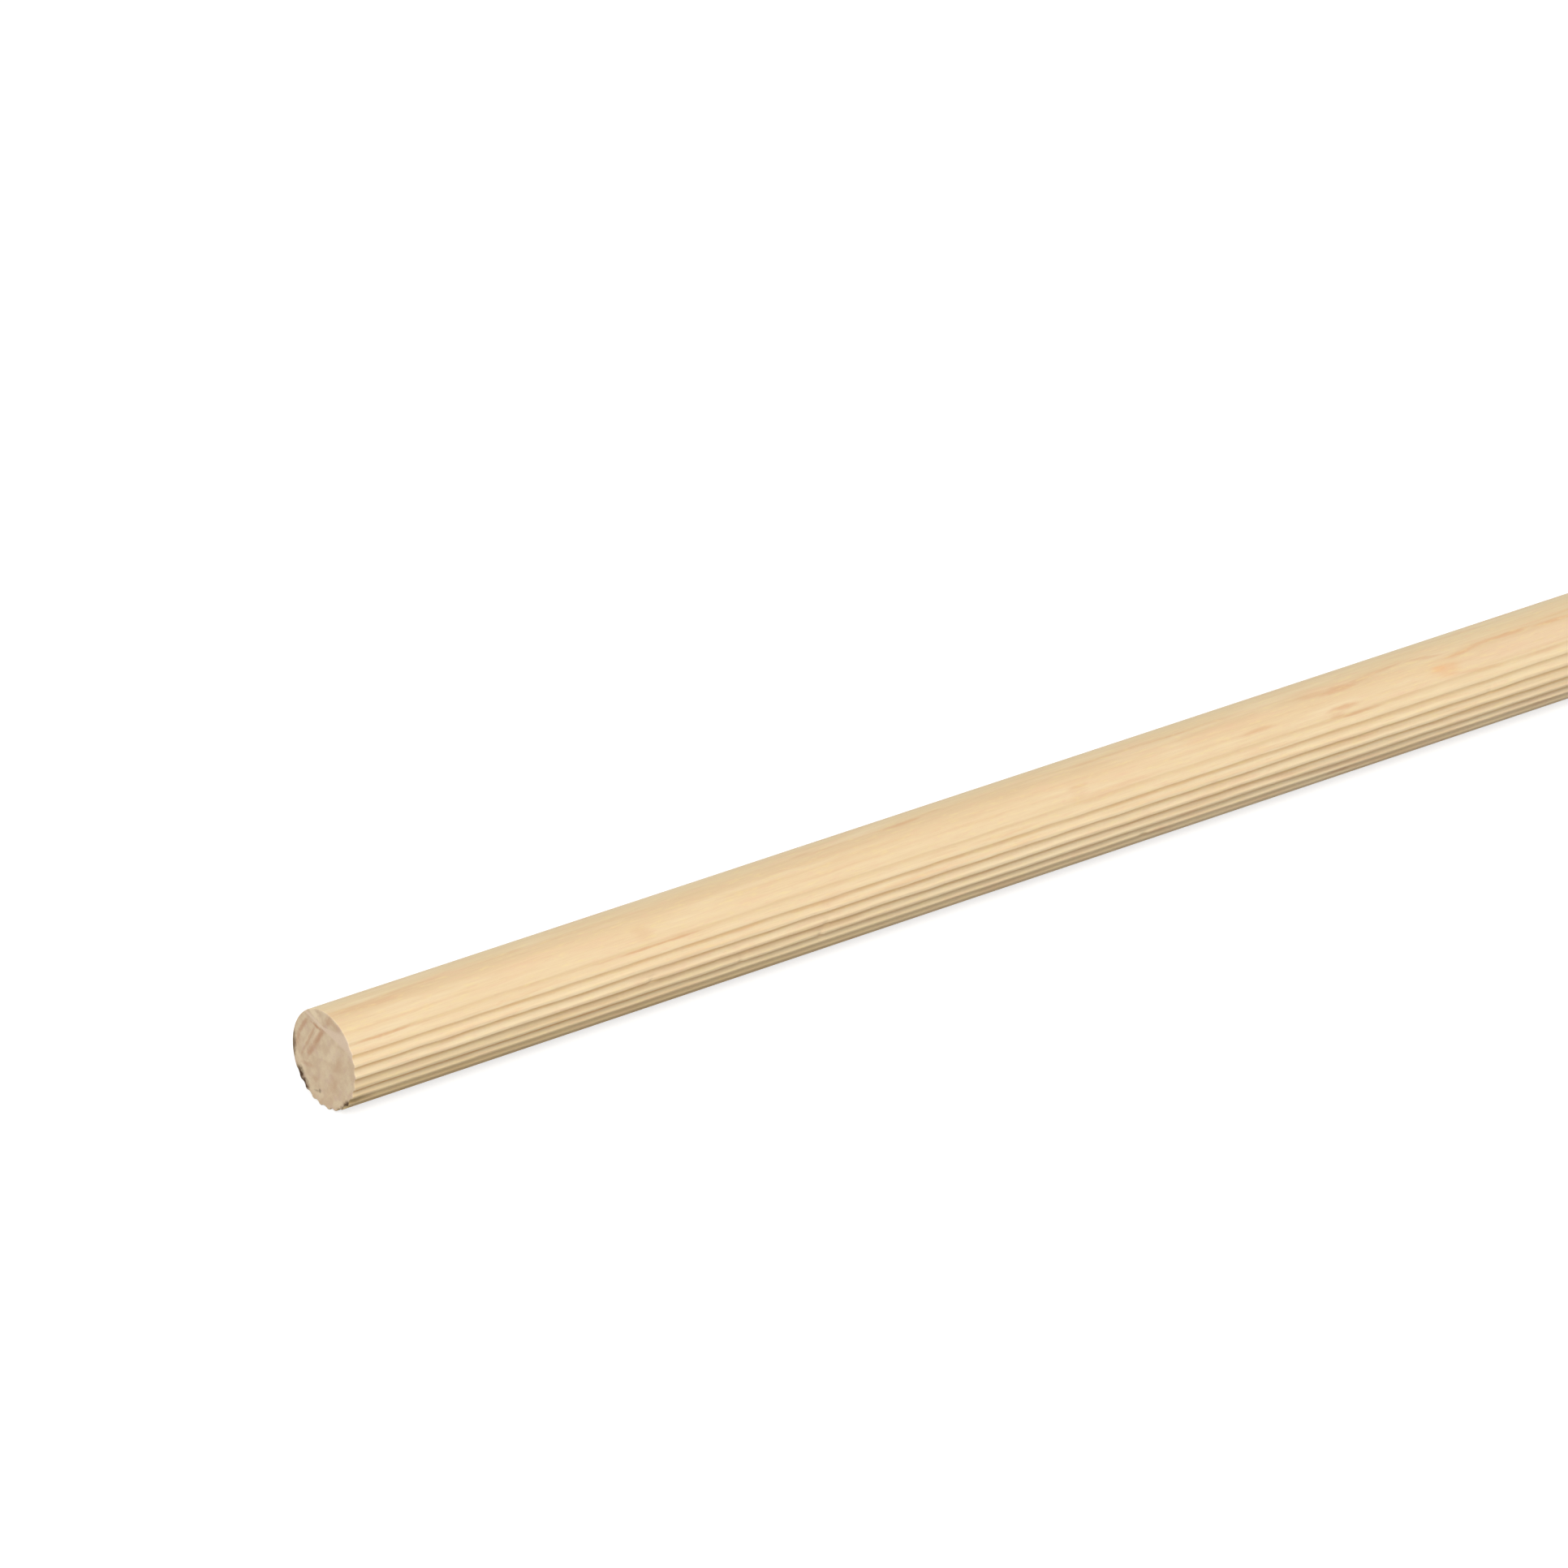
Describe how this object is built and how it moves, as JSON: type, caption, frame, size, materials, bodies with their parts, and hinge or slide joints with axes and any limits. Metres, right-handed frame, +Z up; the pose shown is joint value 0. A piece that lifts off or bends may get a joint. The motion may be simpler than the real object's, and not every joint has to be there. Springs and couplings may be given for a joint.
{
  "type": "half-fluted dowel rod",
  "caption": "Round softwood dowel rod, smooth along one half of its wall and cut with straight lengthwise flutes along the other, sawn square at both ends.",
  "frame": {"origin": "middle of the rod's length, on the surface that it lies on, under the rod's axis", "axes": "+X along the rod; +Z up; the fluted half faces down and to the front, which is -Y"},
  "size_m": [0.5, 0.028, 0.0279],
  "materials": {
    "pine": "bare planed pine, sawn at the ends"
  },
  "bodies": {
    "root": {"fluted_rod": "pine"}
  },
  "joints": []
}
